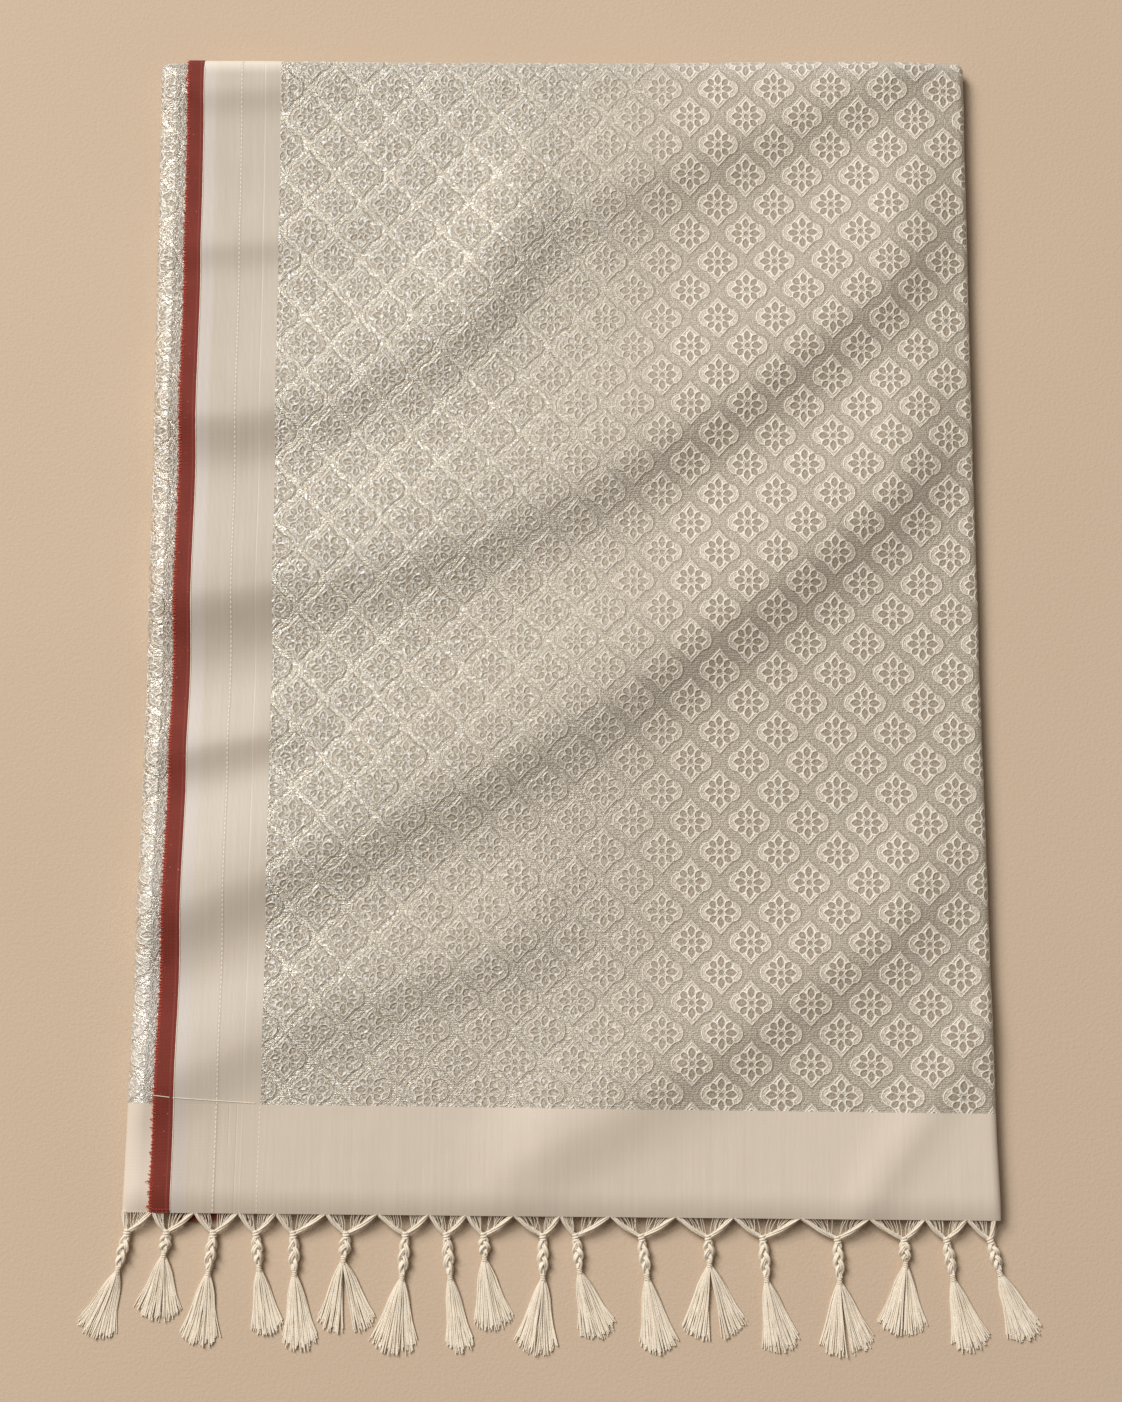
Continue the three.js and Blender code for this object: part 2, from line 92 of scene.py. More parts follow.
# The knotted fringe, left to right. gather is where the tassel's left leg leaves the cloth, knot where
# its legs meet, neck the length of its plait, shift how far the plait leans, skirt the length of its brush,
# lean and spread the brush's middle and half angle, and parted how far the brush divides, in degrees.
FRINGE = [
    dict(gather=-281, knot=-278, neck=26.4, shift=-6.4, skirt=42.5, lean=-19.5, spread=18.5, parted=0),
    dict(gather=-262, knot=-253, neck=16.6, shift=-2, skirt=39.5, lean=-4.2, spread=24, parted=0),
    dict(gather=-235, knot=-223, neck=27.6, shift=-3.4, skirt=44.5, lean=-7, spread=17, parted=1),
    dict(gather=-207, knot=-196, neck=24.6, shift=2.4, skirt=40, lean=8.5, spread=16, parted=0),
    dict(gather=-183, knot=-172, neck=27.6, shift=1, skirt=46.5, lean=5.5, spread=15, parted=0),
    dict(gather=-151, knot=-138, neck=19, shift=-2, skirt=44, lean=4, spread=26, parted=5),
    dict(gather=-118, knot=-100, neck=29.5, shift=-2.4, skirt=46.5, lean=-7, spread=20, parted=0),
    dict(gather=-85, knot=-74, neck=29, shift=2.7, skirt=45.5, lean=9.5, spread=12, parted=0),
    dict(gather=-61, knot=-50, neck=17.2, shift=0.6, skirt=43, lean=8.5, spread=18.5, parted=0),
    dict(gather=-31, knot=-12, neck=29, shift=0, skirt=46, lean=-6, spread=18, parted=1),
    dict(gather=-1, knot=9, neck=24.5, shift=2.7, skirt=42, lean=18, spread=18.5, parted=0),
    dict(gather=31, knot=51, neck=28.2, shift=4, skirt=46, lean=9.7, spread=16.5, parted=0),
    dict(gather=73, knot=94, neck=19.6, shift=0.9, skirt=45, lean=5, spread=28, parted=6),
    dict(gather=110, knot=129, neck=28.8, shift=2.5, skirt=44.5, lean=13.5, spread=17, parted=0),
    dict(gather=153, knot=177, neck=29.5, shift=1.3, skirt=45, lean=6.7, spread=24, parted=2.5),
    dict(gather=197, knot=220, neck=18.4, shift=0.7, skirt=42.5, lean=-3, spread=22.5, parted=1.5),
    dict(gather=233, knot=247, neck=27, shift=4.3, skirt=45, lean=15.6, spread=17, parted=0),
    dict(gather=260, knot=275, neck=23.4, shift=6.7, skirt=43.5, lean=24, spread=17, parted=0),
]
LAST_GATHER = 278
KNOT_DROP = 11.6  # from the cloth's edge to the knot

# The weave, in the cloth's own coordinates: U from the seam between border and field, V from the band.
FIELD_WIDTH = 468.5
BORDER_WIDTH = 53.5
RED_WIDTH = 12
FIELD_LENGTH = 695
BAND_LENGTH = 69
REPEAT_ACROSS = 37.8  # one medallion to the next
REPEAT_ALONG = 39.4


# ---- The packet's outline and top ----------------------------------------------------------------
def lerp(a, b, share):
    return a + (b - a) * share


def clamp(value, low=0.0, high=1.0):
    return max(low, min(high, value))


def smooth(share):
    share = clamp(share)
    return share * share * (3 - 2 * share)


def nearness(y):
    """0 at the rear and 1 at the front: the packet flares towards its front."""
    return clamp((REAR_Y - y) / LENGTH)


def left_edge(y):
    return -(271 + 10.8 * nearness(y) ** 3)


def red_left(y):
    return -(252 + 12 * nearness(y) ** 2.6)


def red_right(y):
    return -(241 + 9.5 * nearness(y) ** 2.4)


def border_seam(y):
    return -(189.5 + 5.5 * nearness(y) ** 4)


def right_edge(y):
    return 272 + 9.6 * nearness(y) ** 1.8


def flat_left(y):
    return left_edge(y) + SIDES["left"]["reach"] - LAYER


def flat_right(y):
    return right_edge(y) - SIDES["right"]["reach"]


def tuck_end(y):
    return red_left(y) + TUCK


def front_edge(x):
    return -384.2 - 0.0098 * x


def setback_line(x):
    return front_edge(x) + FRONT_SETBACK


def band_seam(x):
    return -315.6 - 0.0125 * x


def flat_rear(x):
    return REAR_Y - SIDES["rear"]["reach"]


def fold_height(fold, x, y):
    s = x / SPAN
    slope = (fold["right"] - fold["left"]) / 2
    bend = (fold["right"] + fold["left"]) / 2 - fold["middle"]
    crest = fold["middle"] + slope * s + bend * s * s
    lean = math.hypot(1, (slope + 2 * bend * s) / SPAN)
    away = (y - crest) / lean
    width = fold["lit"] if away > 0 else fold["lee"]
    alive = smooth((x - fold["begin"]) / FADE) * smooth((fold["end"] - x) / FADE)
    return fold["rise"] * alive * math.exp(-((away / width) ** 2))


def top_height(x, y):
    folds = sum(fold_height(fold, x, y) for fold in FOLDS)
    ripple = 0.35 * noise.noise(Vector((x / 60, y / 60, 3.1)))
    ripple += 0.12 * noise.noise(Vector((x / 17, y / 17, 8.4)))
    sag = clamp(1 - (y - front_edge(x)) / DROOP_RUN)
    return PILE + folds + ripple - DROOP * sag * sag


# ---- Making pieces -------------------------------------------------------------------------------
def piece(name, mesh, material, slot, *nodes):
    """Puts a finished mesh in the scene, on the packet's one body."""
    made = bpy.data.objects.new(name, mesh)
    bpy.context.scene.collection.objects.link(made)
    mesh.materials.clear()
    mesh.materials.append(material)
    mesh.shade_smooth()
    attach(made, "root")
    if nodes:
        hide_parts(*nodes)
    return made


def line_span(start, end, steps, first=0):
    """Lines of a grid between two others. A line is its place in the weave and its course on the packet."""
    return [
        (
            lerp(start[0], end[0], k / steps),
            lambda at, share=k / steps: lerp(start[1](at), end[1](at), share),
        )
        for k in range(first, steps + 1)
    ]


def crossing(column, row):
    x, y = 0.0, row(0)
    for _ in range(3):
        x = column(y)
        y = row(x)
    return x, y


def turned(x, y, over_side, over_rear, depth, proud=0.0):
    """Where cloth lies that has gone a share over a rolled side (left is negative) or over the rear."""
    top = top_height(x, y)
    share = max(abs(over_side), over_rear)
    if share == 0:
        return Vector((x, y, top - depth)) * MM
    side = SIDES["right" if over_side > 0 else "left"]
    rear = SIDES["rear"]
    if abs(over_side) >= over_rear:
        heading = over_rear / abs(over_side) / 2
    else:
        heading = 1 - abs(over_side) / over_rear / 2
    angle = heading * math.pi / 2
    wobble = 0.35 * noise.noise(Vector((x / 40, y / 40, 5.5)))
    reach_x = math.copysign((side["reach"] + wobble) * math.cos(angle), over_side)
    reach_y = (rear["reach"] + proud + wobble) * math.sin(angle)
    low = lerp(side["low"], rear["low"], heading)
    reach = math.hypot(reach_x, reach_y)
    turn = share * ROLL_END
    out = (reach - depth) / reach * math.sin(turn)
    drop = (top - low) / (1 - math.cos(ROLL_END))
    z = top - drop * (1 - math.cos(turn)) - depth * math.cos(turn)
    return Vector((x + reach_x * out, y + reach_y * out, z)) * MM


def cloth(name, columns, rows, rolls, material, slot, nodes, depth=0.0, proud=0.0):
    """A stretch of cloth: a grid laid on the packet, rolled over some sides and given its thickness."""
    left = ROLL_STEPS if "left" in rolls else 0
    right = ROLL_STEPS if "right" in rolls else 0
    rear = ROLL_STEPS if "rear" in rolls else 0
    across = left + len(columns) - 1 + right
    along = len(rows) - 1 + rear
    bm = bmesh.new()
    bmesh.ops.create_grid(bm, x_segments=across, y_segments=along, size=1)
    weave = bm.loops.layers.uv.new("Weave")
    woven = {}
    for vert in bm.verts:
        i = round((vert.co.x + 1) / 2 * across) - left
        j = round((vert.co.y + 1) / 2 * along)
        over_right = max(0, i - (len(columns) - 1))
        over_left = max(0, -i)
        over_rear = max(0, j - (len(rows) - 1))
        u, column = columns[int(clamp(i, 0, len(columns) - 1))]
        v, row = rows[min(j, len(rows) - 1)]
        x, y = crossing(column, row)
        vert.co = turned(x, y, (over_right - over_left) / ROLL_STEPS, over_rear / ROLL_STEPS, depth, proud)
        step = 1.6  # of cloth in each step of a roll
        woven[vert] = ((u + (over_right - over_left) * step) * MM, (v + over_rear * step) * MM)
    for face in bm.faces:
        for loop in face.loops:
            loop[weave].uv = woven[loop.vert]
    return walled(name, bm, material, slot, nodes)


def walled(name, bm, material, slot, nodes):
    """Gives a sheet its thickness, with crisp rims."""
    bmesh.ops.solidify(bm, geom=bm.faces[:], thickness=WALL * MM)
    bmesh.ops.recalc_face_normals(bm, faces=bm.faces)
    for edge in bm.edges:
        if edge.is_manifold and edge.calc_face_angle() > RIM_ANGLE:
            edge.smooth = False
    mesh = bpy.data.meshes.new(name)
    bm.to_mesh(mesh)
    bm.free()
    return piece(name, mesh, material, slot, *nodes)


def threads(name, strands, material, slot, nodes=()):
    """Threads as one mesh. A strand is a list of (point in millimetres, radius)."""
    curve = bpy.data.curves.new(name, "CURVE")
    curve.dimensions = "3D"
    curve.bevel_depth = MM
    curve.bevel_resolution = 0
    curve.use_fill_caps = True
    for strand in strands:
        spline = curve.splines.new("POLY")
        spline.points.add(len(strand) - 1)
        for point, (place, radius) in zip(spline.points, strand):
            point.co = (place[0] * MM, place[1] * MM, place[2] * MM, 1)
            point.radius = radius
    holder = bpy.data.objects.new(name, curve)
    bpy.context.scene.collection.objects.link(holder)
    mesh = bpy.data.meshes.new_from_object(holder.evaluated_get(bpy.context.evaluated_depsgraph_get()))
    bpy.data.objects.remove(holder)
    bpy.data.curves.remove(curve)
    return piece(name, mesh, material, slot, *nodes)


# ---- Materials -----------------------------------------------------------------------------------
class Value:
    """A number in a shader, so that sums on it are written as Python expressions."""

    def __init__(self, finish, socket):
        self.finish = finish
        self.socket = socket

    def math(self, operation, *others):
        return self.finish.node("ShaderNodeMath", [self, *others], operation=operation)

    def __add__(self, other):
        return self.math("ADD", other)

    __radd__ = __add__

    def __sub__(self, other):
        return self.math("SUBTRACT", other)

    def __rsub__(self, other):
        return self.finish.node("ShaderNodeMath", [other, self], operation="SUBTRACT")

    def __mul__(self, other):
        return self.math("MULTIPLY", other)

    __rmul__ = __mul__

    def __truediv__(self, other):
        return self.math("DIVIDE", other)

    def __pow__(self, other):
        return self.math("POWER", other)

    def __gt__(self, other):
        return self.math("GREATER_THAN", other)

    def __abs__(self):
        return self.math("ABSOLUTE")

    def least(self, other):
        return self.math("MINIMUM", other)

    def most(self, other):
        return self.math("MAXIMUM", other)

    def wave(self):
        return self.math("SINE") * 0.5 + 0.5

    def fade(self, start, end):
        """0 before start, 1 after end and smooth between."""
        return self.finish.node(
            "ShaderNodeMapRange", [self, start, end, 0.0, 1.0], interpolation_type="SMOOTHSTEP"
        )

    def line(self, middle, half, soft):
        """1 within half of the middle, and 0 a soft edge further out."""
        return 1 - abs(self - middle).fade(half, half + soft)


class Finish:
    """A cloth's or thread's material."""

    def __init__(self, name, **fixed):
        self.material = bpy.data.materials.new(name)
        self.material.use_nodes = True
        self.tree = self.material.node_tree
        self.shader = self.tree.nodes["Principled BSDF"]
        for socket, value in fixed.items():
            self.shader.inputs[socket.replace("_", " ")].default_value = value

    def node(self, kind, values=(), out=0, **settings):
        made = self.tree.nodes.new(kind)
        for name, setting in settings.items():
            setattr(made, name, setting)
        named = values.items() if isinstance(values, dict) else enumerate(values)
        for socket, value in named:
            if isinstance(value, Value):
                self.tree.links.new(value.socket, made.inputs[socket])
            else:
                made.inputs[socket].default_value = value
        return Value(self, made.outputs[out])

    def weave(self):
        """How far across and along the woven cloth, in millimetres."""
        uv = self.node("ShaderNodeUVMap", uv_map="Weave")
        split = self.node("ShaderNodeSeparateXYZ", [uv])
        return split * 1000, Value(self, split.socket.node.outputs[1]) * 1000

    def place(self):
        return self.node("ShaderNodeTexCoord", out=3)

    def at(self, x, y, z=0.0):
        return self.node("ShaderNodeCombineXYZ", [x, y, z])

    def noise(self, where, scale, detail=2.0, roughness=0.5):
        values = {"Vector": where, "Scale": scale, "Detail": detail, "Roughness": roughness}
        return self.node("ShaderNodeTexNoise", values)

    def mix(self, share, low, high):
        """One colour into another."""
        values = {0: share, 6: colour(low), 7: colour(high)}
        return self.node("ShaderNodeMix", values, out=2, data_type="RGBA")

    def bump(self, height, distance=MM):
        return self.node("ShaderNodeBump", {"Height": height, "Distance": distance, "Strength": 1.0})

    def feed(self, **links):
        for name, value in links.items():
            socket = self.shader.inputs[name.replace("_", " ")]
            if isinstance(value, Value):
                self.tree.links.new(value.socket, socket)
            else:
                socket.default_value = value
        return self.material


def colour(rgb):
    """A colour given as 0 to 255 on screen, or one that is a link already."""
    if isinstance(rgb, Value):
        return rgb
    linear = [(c / 255 / 12.92 if c < 10.3 else ((c / 255 + 0.055) / 1.055) ** 2.4) for c in rgb]
    return (*linear, 1)


THREAD_GAP = 1.45  # the spacing of the ground's visible weft lines
BORDER_REPEAT = 36.5  # one medallion to the next beside the border
EASING = 641  # the repeats widen away from the border, and less so the larger this is
FIRST_ACROSS = 0.077  # repeats from the border to the first medallion's middle
FIRST_ALONG = 0.2  # repeats from the band to it
LATTICE_SLANT = 0.17  # repeats that a column drifts across, from the rear to the band
LATTICE_BOW = 0.2  # repeats that a row gains towards both ends
MEDALLION_HALF_WIDTH = 13.6
MEDALLION_HALF_LENGTH = 14.9
ROUNDING_AT = 6.9  # each side of a medallion is rounded by a circle this far from its middle
ROUNDING_RADIUS = 6.6
HEART_RADIUS = 1.7
SLANTING_PETAL_AT = 4.9  # across and along


def brocade_silk():
    """Cream medallions raised on a ground of dull silver thread, as an ogee lattice."""
    f = Finish("brocade_silk", Sheen_Weight=0.12, Sheen_Roughness=0.4, Specular_IOR_Level=0.5)
    u, v = f.weave()
    where = f.at(u, v)
    slack = f.noise(where, 0.12, detail=1.0) - 0.5
    near = 1 - v / FIELD_LENGTH  # 0 at the rear, 1 at the band
    a = (u + slack) / BORDER_REPEAT - (u / EASING) ** 2 - FIRST_ACROSS + near * LATTICE_SLANT
    b = (v + slack) / REPEAT_ALONG - FIRST_ALONG - (0.5 - near) * (0.5 - near) * LATTICE_BOW
    x = a.math("PINGPONG", 0.5)
    y = b.math("PINGPONG", 0.5)
    far = (x + y) > 0.5
    left = abs(far - (a.math("FRACT") > 0.5))  # 1 on a medallion's left half
    x = abs(x - far * 0.5) * REPEAT_ACROSS
    y = abs(y - far * 0.5) * REPEAT_ALONG

    # The medallion: a lozenge with its sides rounded out. The distance is negative inside.
    steepness = math.hypot(1 / MEDALLION_HALF_WIDTH, 1 / MEDALLION_HALF_LENGTH)
    lozenge = (x / MEDALLION_HALF_WIDTH + y / MEDALLION_HALF_LENGTH - 1) * (1 / steepness)
    round_x = x - ROUNDING_AT
    circle = (round_x * round_x + y * y) ** 0.5 - ROUNDING_RADIUS
    edge = lozenge.least(circle)
    medallion = 1 - edge.fade(-0.5, 0.3)

    # Its flower: each petal is under 1 inside.
    upper = x / 2.4 + ((y - 6.9) / 3.9) ** 2
    side = ((x - 6.2) / 3.8) ** 2 + y / 2.6
    from_x = x - SLANTING_PETAL_AT
    from_y = y - SLANTING_PETAL_AT
    along = from_x * 0.67 + from_y * 0.74
    beside = from_y * 0.67 - from_x * 0.74
    slant = (along / 3.3) ** 2 + abs(beside) / 2.2
    heart = (x * x + y * y) / (HEART_RADIUS * HEART_RADIUS)
    leaf = upper.least(side).least(slant)
    petal = leaf.least(heart)
    inset = medallion * (1 - petal.fade(0.6, 1.0))
    seed = medallion * (1 - leaf.fade(0.06, 0.3))
    rim = medallion * petal.line(1.22, 0.1, 0.3) * (1 - inset)
    outline = edge.line(-0.5, 0.2, 0.4)
    shaded_groove = edge.line(1.1, 0.2, 0.5)

    # The weave: weft lines over the ground, and slubs, glints and specks over all of it; the glints are also
    # painted as white highlights.
    weft = (v * (2 * math.pi / THREAD_GAP) + slack * 9).wave()
    grain = f.noise(where, 0.62, detail=3.0, roughness=0.75).fade(0.36, 0.64)
    glint = f.noise(where, 0.31, detail=3.0, roughness=0.8).fade(0.38, 0.62)
    speck = f.noise(where, 1.5, detail=2.0, roughness=0.8).fade(0.35, 0.65)
    # Painted sheen, 1 towards the border and half in a band past it: the ground painted lighter, the
    # medallions darker.
    painted_sheen = 1 - (u - v * 0.26).fade(-40, 120) * 0.55 - u.fade(180, 300) * 0.45
    halfway = painted_sheen.line(0.5, 0.3, 0.25)
    lit_ridge = rim.most(outline * (left * 0.5 + 0.5)).most(seed * (painted_sheen * 0.6 + 0.15))
    rear_fold = v.fade(684, 702)
    left_fold = (1 - u.fade(-8, -2)) * (1 - v.fade(60, 300))
    fold_highlight = (rear_fold * 0.25).most(left_fold * 0.3)  # painted highlight along the rear fold and the rolled left edge
    silk = f.mix(grain, (196, 182, 162), (232, 219, 201))
    shade = f.mix(grain, (187, 173, 153), (226, 213, 194))
    dull = f.mix(grain * 0.5 + weft * 0.5, (169, 157, 139), (207, 195, 177))
    lit_ground = f.mix(grain * 0.8 + weft * 0.2, (224, 210, 188), (255, 247, 232))
    metal = 1 - medallion
    # Painted sheen: a lit copy of the ground and a shaded copy of the medallions' silk.
    tone = f.mix(medallion, f.mix(painted_sheen, dull, lit_ground), f.mix((painted_sheen * 2).least(1), silk, shade))
    # The petals' grey thread, painted paler where the sheen is painted and in the middle band.
    tone = f.mix(inset * (0.85 - painted_sheen * 0.43 - halfway * 0.22), tone, (155, 140, 118))
    # Painted shade in the groove round each medallion, less on its left half, which faces the light.
    tone = f.mix(shaded_groove * (painted_sheen * 0.25 + 0.35 - left * 0.25), tone, (152, 138, 118))
    # The specks: a texture, and in the middle band also painted shade.
    tone = f.mix((1 - speck) * (halfway * 0.14 + 0.01), tone, (100, 80, 54))
    # Painted highlights on the raised rims, outlines and seeds, more on a medallion's left half and with the
    # sheen.
    tone = f.mix(lit_ridge * (0.9 - halfway * 0.25), tone, (255, 246, 231))
    # Painted glints with the sheen, and the painted fold highlight.
    tone = f.mix((glint.fade(0.68, 0.95) * painted_sheen * 0.85).most(fold_highlight), tone, (255, 252, 245))
    height = medallion * 0.4 + lit_ridge * 0.35 - inset * 0.26 - shaded_groove * (0.08 + painted_sheen * 0.1)
    height = height + metal * weft * 0.1 + (grain + glint) * (0.13 + painted_sheen * 0.1) + speck * halfway * 0.05
    return f.feed(
        Base_Color=tone,
        Metallic=metal * (0.12 + painted_sheen * 0.36) + painted_sheen * 0.26 + 0.04,
        Roughness=0.33 + glint * 0.1,
        Normal=f.bump(height),
    )


def satin_silk(name, plain):
    """Cream satin with long warp lines. The border has a paler stripe, a dotted line and a fainter one."""
    f = Finish(name, Sheen_Weight=0.1, Sheen_Roughness=0.35, Specular_IOR_Level=0.5)
    u, v = f.weave()
    streak = f.noise(f.at(u, v * 0.02), 0.5, detail=3.0, roughness=0.6)
    fine = f.noise(f.at(u, v * 0.05), 2.2, detail=2.0)
    cloud = f.noise(f.at(u, v), 0.05, detail=3.0)
    grain = f.noise(f.at(u, v), 1.6, detail=2.0)
    share = streak * 0.6 + fine * 0.25 + cloud * 0.15
    if plain:
        rolled = u.fade(490, 505)  # the strip beside the red selvedge, which gets a painted highlight
        # Painted light: the band lighter towards the right, and a highlight on the strip beside the red
        # selvedge.
        tone = f.mix(share + u.least(470) * 0.0009 - 0.08 + rolled * 0.34, (197, 182, 163), (224, 208, 190))
    else:
        # Painted light: the border lighter towards the band.
        tone = f.mix(share + (1 - v.fade(60, 330)) * 0.42, (175, 161, 142), (206, 192, 174))
    warp = (u * (2 * math.pi / 0.8)).wave()
    weft = (v * (2 * math.pi / 0.9)).wave()
    height = warp * 0.02 + weft * 0.015 + fine * 0.05 + grain * 0.04
    inner = u + BORDER_WIDTH
    cool = 1 - inner.fade(6.5, 11)
    tone = f.mix(cool * 0.55, tone, (203, 192, 186))
    dash = (v * (2 * math.pi / 3.1)).wave().fade(0.2, 0.5)
    main = inner.line(BORDER_WIDTH * 0.49, 0.34, 0.25)
    faint = inner.line(BORDER_WIDTH * 0.795, 0.3, 0.3)
    shaded_groove = inner.line(BORDER_WIDTH * 0.49 + 0.9, 0.3, 0.4)
    last = (u + 0.3).line(0, 0.3, 0.3)
    stitched = main * dash
    if plain:
        stitched = stitched + last * dash * 0.6
        below = 0 - v
        crease = u.line(-BORDER_WIDTH * 0.27, 0.1, 0.5) + u.line(-BORDER_WIDTH * 0.36, 0.1, 0.4) * (
            1 - below.fade(22, 30)
        )
        height = height - crease * 0.09
    # A painted highlight along the rear fold.
    tone = f.mix(v.fade(688, 700) * 0.8, tone, (238, 228, 212))
    # Painted shade in the groove beside the dotted line.
    tone = f.mix(shaded_groove * 0.4, tone, (168, 151, 129))
    tone = f.mix(stitched.least(1.0) * 0.62 + faint * 0.14, tone, (244, 236, 222))
    height = height + stitched * 0.16 + faint * 0.05
    return f.feed(
        Base_Color=tone,
        Roughness=0.37 + fine * 0.12,
        Normal=f.bump(height),
    )


def red_selvedge():
    """Dark red tabby with brighter rubbed edges and a few pale flecks."""
    f = Finish("selvedge_silk", Sheen_Weight=0.05, Sheen_Roughness=0.5, Specular_IOR_Level=0.2)
    u, v = f.weave()
    where = f.at(u, v)
    grain = f.noise(where, 1.3, detail=3.0, roughness=0.65)
    cloud = f.noise(where, 0.06, detail=2.0)
    fleck = f.noise(where, 0.55, detail=1.0).fade(0.73, 0.78)
    inner = u + (BORDER_WIDTH + RED_WIDTH)
    tone = f.mix(grain * 0.6 + cloud * 0.4, (90, 26, 18), (150, 66, 52))
    rubbed = (1 - inner.fade(0.4, 2.4)) * grain.fade(0.35, 0.6)
    tone = f.mix(rubbed * 0.8, tone, (184, 74, 52))
    tone = f.mix(inner.line(RED_WIDTH - 2.4, 0.2, 0.5) * 0.35, tone, (150, 84, 78))
    tone = f.mix(fleck * 0.6, tone, (206, 150, 138))
    warp = (u * (2 * math.pi / 0.9)).wave()
    weft = (v * (2 * math.pi / 0.9)).wave()
    height = warp * weft * 0.12 + grain * 0.14
    return f.feed(Base_Color=tone, Roughness=0.62 + grain * 0.15, Normal=f.bump(height))


def silk_thread(name, low, high, rough=0.55):
    """Spun thread: fine fibres, and a colour that changes a little from place to place."""
    f = Finish(name, Sheen_Weight=0.25, Sheen_Roughness=0.4, Specular_IOR_Level=0.35)
    place = f.place()
    cloud = f.noise(place, 190.0, detail=3.0, roughness=0.6)
    fibre = f.noise(place, 1500.0, detail=2.0)
    tone = f.mix(cloud * 0.6 + fibre * 0.4, low, high)
    return f.feed(Base_Color=tone, Roughness=rough + fibre * 0.15, Normal=f.bump(fibre, 0.0002))


def pale_paper():
    """The plain surface that the packet lies on."""
    f = Finish("floor_paper", Specular_IOR_Level=0.2)
    place = f.place()
    cloud = f.noise(place, 3.5, detail=4.0)
    grain = f.noise(place, 420.0, detail=4.0, roughness=0.7)
    tone = f.mix(cloud * 0.5 + grain * 0.5, (198, 175, 150), (212, 189, 164))
    return f.feed(Base_Color=tone, Roughness=0.85, Normal=f.bump(grain, 0.0004))


# ---- Camera and light ----------------------------------------------------------------------------
def camera():
    """Nearly overhead, a little in front."""
    lens = bpy.data.cameras.new("camera")
    lens.lens = 70
    lens.sensor_width = 36
    made = bpy.data.objects.new("camera", lens)
    made.location = (-0.0203, -0.2897, 1.7826)
    made.rotation_euler = Euler((math.radians(7.66), math.radians(-0.64), math.radians(0.01)))
    bpy.context.scene.collection.objects.link(made)
    bpy.context.scene.camera = made


def softbox(name, towards, height, distance, size, power, tint):
    """A square light over the packet, at a compass bearing and a height in degrees."""
    data = bpy.data.lights.new(name, "AREA")
    data.shape = "SQUARE"
    data.size = size
    data.energy = power
    data.color = tint
    made = bpy.data.objects.new(name, data)
    bearing, rise = math.radians(towards), math.radians(height)
    way = Vector((math.sin(bearing) * math.cos(rise), math.cos(bearing) * math.cos(rise), math.sin(rise)))
    made.location = way * distance
    made.rotation_euler = way.to_track_quat("Z", "Y").to_euler()
    bpy.context.scene.collection.objects.link(made)


def studio():
    scene = bpy.context.scene
    scene.view_settings.view_transform = "Standard"
    softbox("key_light", -42, 41, 12, 4.6, 920, (1.0, 0.997, 1.0))
    softbox("gloss_light", -52, 59, 6, 3, 180, (1.0, 1.0, 0.99))
    world = bpy.data.worlds.new("studio")
    world.use_nodes = True
    world.node_tree.nodes["Background"].inputs["Color"].default_value = (1.0, 0.92, 0.83, 1)
    world.node_tree.nodes["Background"].inputs["Strength"].default_value = 0.18
    scene.world = world
    bm = bmesh.new()
    bmesh.ops.create_grid(bm, x_segments=1, y_segments=1, size=3)
    mesh = bpy.data.meshes.new("floor")
    bm.to_mesh(mesh)
    bm.free()
    mesh.materials.append(pale_paper())
    floor = bpy.data.objects.new("floor", mesh)
    scene.collection.objects.link(floor)


# ---- The cloths ----------------------------------------------------------------------------------
def lines_across():
    """The grid's columns: the red selvedge, the border and the field, and where each starts."""
    red = (-BORDER_WIDTH - RED_WIDTH, red_left)
    white = (-BORDER_WIDTH, red_right)
    seam = (0, border_seam)
    side = (FIELD_WIDTH, flat_right)
    columns = line_span(red, white, 5)
    white_at = len(columns) - 1
    columns += line_span(white, seam, round(BORDER_WIDTH / CELL), 1)
    seam_at = len(columns) - 1
    columns += line_span(seam, side, round(FIELD_WIDTH / CELL), 1)
    return columns, white_at, seam_at


def lines_along():
    """The grid's rows: the band and the field, and where the field starts."""
    front = (-BAND_LENGTH, front_edge)
    band = (0, band_seam)
    rear = (FIELD_LENGTH, flat_rear)
    rows = line_span(front, band, round(BAND_LENGTH / CELL))
    band_at = len(rows) - 1
    return rows + line_span(band, rear, round(FIELD_LENGTH / CELL), 1), band_at


def make_cloths(brocade, border, band, red):
    columns, white_at, seam_at = lines_across()
    rows, band_at = lines_along()
    beyond_band = rows[band_at:]
    upto_band = rows[: band_at + 1]
    columns_of_field = columns[seam_at:]
    columns_of_border = columns[white_at : seam_at + 1]
    columns_of_red = columns[: white_at + 1]
    over_two = ("right", "rear")
    field = cloth(
        "brocade_field", columns_of_field, beyond_band, over_two, brocade, "brocade", ["field_brocade"]
    )
    side = cloth(
        "satin_border", columns_of_border, beyond_band, ("rear",), border, "satin", ["border_satin"]
    )
    edge = cloth(
        "red_selvedge", columns_of_red, rows, ("rear",), red, "selvedge", ["selvedge_red"], proud=0.4
    )
    end = cloth("satin_band", columns[white_at:], upto_band, ("right",), band, "satin", ["end_band"])

    under = line_span((-26, flat_left), (0, tuck_end), 9)
    over_two = ("left", "rear")
    strip = cloth(
        "lower_field", under, beyond_band, over_two, brocade, "brocade", ["lower_brocade"], depth=LAYER
    )
    plain = line_span((520, flat_left), (546, tuck_end), 9)
    hem = cloth(
        "lower_band_strip", plain, upto_band, ("left",), band, "satin", ["lower_band"], depth=LAYER
    )


LAYERS = 7
GROOVE = 1.5  # depth of the groove between two layers
LAYER_STEPS = 5


